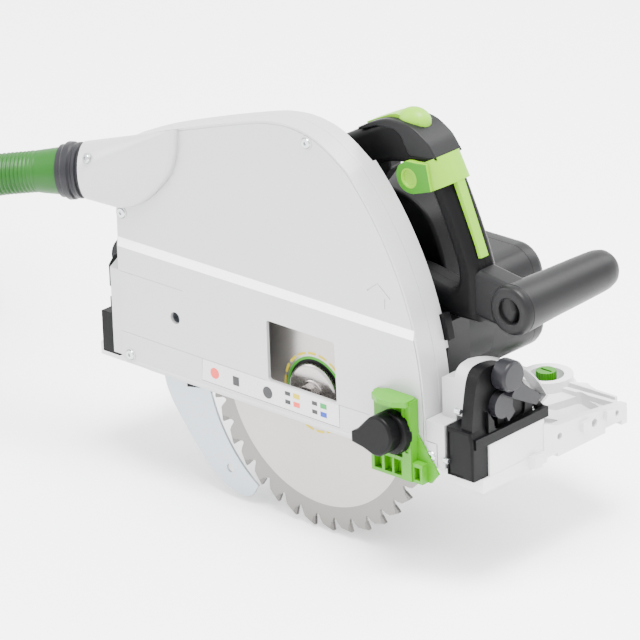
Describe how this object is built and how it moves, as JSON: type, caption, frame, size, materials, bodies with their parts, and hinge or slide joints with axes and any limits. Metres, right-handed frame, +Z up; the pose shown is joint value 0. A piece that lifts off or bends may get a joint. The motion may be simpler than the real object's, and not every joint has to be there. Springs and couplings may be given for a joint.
{
  "type": "track plunge saw",
  "caption": "Track plunge saw with a tilting blade guard, plunging motor and handle unit, riving knife, guide rail base and a long dust hose.",
  "frame": {"origin": "a point on the sole's underside, 0.1 m beside the blade's plane and level with its axis", "axes": "+X forward along the cut, +Y from the blade guard towards the motor, +Z up out of the sole"},
  "size_m": [0.9905, 0.3015, 0.3236],
  "materials": {
    "cast_white": "light grey powder coat on a die casting",
    "guard_silver": "silver grey satin powder coat",
    "magnesium": "dark grey casting",
    "black": "fine textured black",
    "dark_plastic": "fine textured dark grey",
    "grey": "fine textured grey",
    "lime": "satin lime green",
    "green": "satin green",
    "splinter_green": "smooth green",
    "hose_green": "ribbed satin green",
    "blade_steel": "ground steel",
    "steel": "turned steel",
    "dark_steel": "oiled steel",
    "zinc": "zinc plated",
    "brass": "pressed"
  },
  "bodies": {
    "base": {"base_plate": "cast_white", "front_quadrant": "black", "rear_quadrant": "black", "near_quadrant_screw": "zinc", "far_quadrant_screw": "zinc"},
    "guard": {"guard_cover": "guard_silver", "guard_shell": "guard_silver", "front_tilt_bracket": "guard_silver", "rear_tilt_bracket": "guard_silver", "depth_scale": "guard_silver", "cover_screw_1": "zinc", "cover_screw_2": "zinc", "cover_screw_3": "zinc", "cover_screw_4": "zinc", "plunge_pin": "dark_steel", "plunge_spring": "steel", "dust_collar": "grey", "hose_cuff": "hose_green", "dust_hose": "hose_green", "hose_coil": "hose_green", "hose_connector": "black"},
    "drive_unit": {"gear_housing": "magnesium", "bearing_plate": "magnesium", "motor_housing": "dark_plastic", "motor_end_cap": "dark_plastic", "near_handle_shell": "black", "far_handle_shell": "black", "front_grip": "dark_plastic", "switch_block": "dark_plastic", "stator": "dark_steel", "carbon_brush_1": "brass", "carbon_brush_2": "brass", "front_bearing": "steel", "rear_bearing": "steel", "armature_bearing": "steel"},
    "blade": {"spindle": "dark_steel", "output_gear": "dark_steel", "inner_flange": "steel", "outer_flange": "steel", "arbor_bolt": "dark_steel", "saw_blade": "blade_steel"},
    "middle_gearing": {"middle_shaft": "dark_steel", "middle_gear": "dark_steel"},
    "armature": {"armature_shaft": "dark_steel", "armature_core": "dark_steel", "cooling_fan": "black"},
    "knife": {"riving_knife": "blade_steel", "knife_carrier": "steel"},
    "switch_trigger": {"trigger": "black"},
    "switch_lock": {"switch_on_lock": "lime"},
    "change_lever": {"quick_change_lever": "lime"},
    "dial": {"speed_dial": "grey"},
    "stop_slider": {"depth_stop": "black"},
    "splinter_slider": {"splinter_guard": "splinter_green"},
    "splinter_clamp": {"splinter_knob": "black"},
    "front_bevel_clamp": {"front_bevel_knob": "grey"},
    "rear_bevel_clamp": {"rear_bevel_knob": "grey"},
    "front_cam": {"front_guide_cam": "green"},
    "rear_cam": {"rear_guide_cam": "green"}
  },
  "joints": [
    {"name": "bevel", "type": "hinge", "parent": "base", "child": "guard", "pos_m": [0, -0.1, 0], "axis": [1, 0, 0], "range_deg": [0, 47]},
    {"name": "plunge", "type": "hinge", "parent": "guard", "child": "drive_unit", "pos_m": [-0.122, -0.1, 0.048], "axis": [0, -1, 0], "range_deg": [0, 37], "stiffness_Nm_per_rad": 8, "springref_deg": 51.57},
    {"name": "blade_spin", "type": "hinge", "parent": "drive_unit", "child": "blade", "pos_m": [0, -0.1, 0.03], "axis": [0, 1, 0], "continuous": true},
    {"name": "middle_spin", "type": "hinge", "parent": "drive_unit", "child": "middle_gearing", "pos_m": [0.0185, -0.1, 0.0546], "axis": [0, 1, 0], "continuous": true},
    {"name": "armature_spin", "type": "hinge", "parent": "drive_unit", "child": "armature", "pos_m": [0.043, -0.1, 0.074], "axis": [0, 1, 0], "continuous": true},
    {"name": "knife_retract", "type": "hinge", "parent": "drive_unit", "child": "knife", "pos_m": [0, -0.1, 0.03], "axis": [0, -1, 0], "range_deg": [-33.5, 0]},
    {"name": "trigger_pull", "type": "hinge", "parent": "drive_unit", "child": "switch_trigger", "pos_m": [0.05, -0.0648, 0.21], "axis": [0, 1, 0], "range_deg": [0, 8], "stiffness_Nm_per_rad": 0.6, "springref_deg": -5.73},
    {"name": "lock_slide", "type": "slide", "parent": "drive_unit", "child": "switch_lock", "axis": [0.908, 0, 0.419], "range_m": [0, 0.006], "stiffness_N_per_m": 300, "springref_m": -0.002},
    {"name": "lever_swing", "type": "hinge", "parent": "drive_unit", "child": "change_lever", "pos_m": [0.0985, -0.0648, 0.223], "axis": [0, -1, 0], "range_deg": [0, 35]},
    {"name": "dial_turn", "type": "hinge", "parent": "drive_unit", "child": "dial", "pos_m": [0.035, 0.06, 0.08], "axis": [0, 1, 0], "range_deg": [-135, 135]},
    {"name": "stop_slide", "type": "hinge", "parent": "guard", "child": "stop_slider", "pos_m": [-0.122, -0.085, 0.048], "axis": [0, -1, 0], "range_deg": [0, 18]},
    {"name": "splinter_height", "type": "slide", "parent": "guard", "child": "splinter_slider", "axis": [0, 0, 1], "range_m": [0, 0.012]},
    {"name": "splinter_clamp_turn", "type": "hinge", "parent": "splinter_slider", "child": "splinter_clamp", "pos_m": [0.096, -0.12, 0.035], "axis": [0, -1, 0], "range_deg": [0, 90]},
    {"name": "front_bevel_clamp_turn", "type": "hinge", "parent": "base", "child": "front_bevel_clamp", "pos_m": [0.158, -0.083, 0.0815], "axis": [1, 0, 0], "range_deg": [0, 60]},
    {"name": "rear_bevel_clamp_turn", "type": "hinge", "parent": "base", "child": "rear_bevel_clamp", "pos_m": [-0.197, -0.083, 0.0815], "axis": [-1, 0, 0], "range_deg": [-60, 0]},
    {"name": "front_cam_turn", "type": "hinge", "parent": "base", "child": "front_cam", "pos_m": [0.088, 0.047, 0], "axis": [0, 0, 1], "range_deg": [0, 180]},
    {"name": "rear_cam_turn", "type": "hinge", "parent": "base", "child": "rear_cam", "pos_m": [-0.15, 0.047, 0], "axis": [0, 0, 1], "range_deg": [0, 180]}
  ],
  "couplings": [
    {"joint": "middle_spin", "follows": "blade_spin", "ratio": -1.7333},
    {"joint": "armature_spin", "follows": "blade_spin", "ratio": 5.4889},
    {"joint": "knife_retract", "follows": "plunge", "ratio": -0.9}
  ]
}
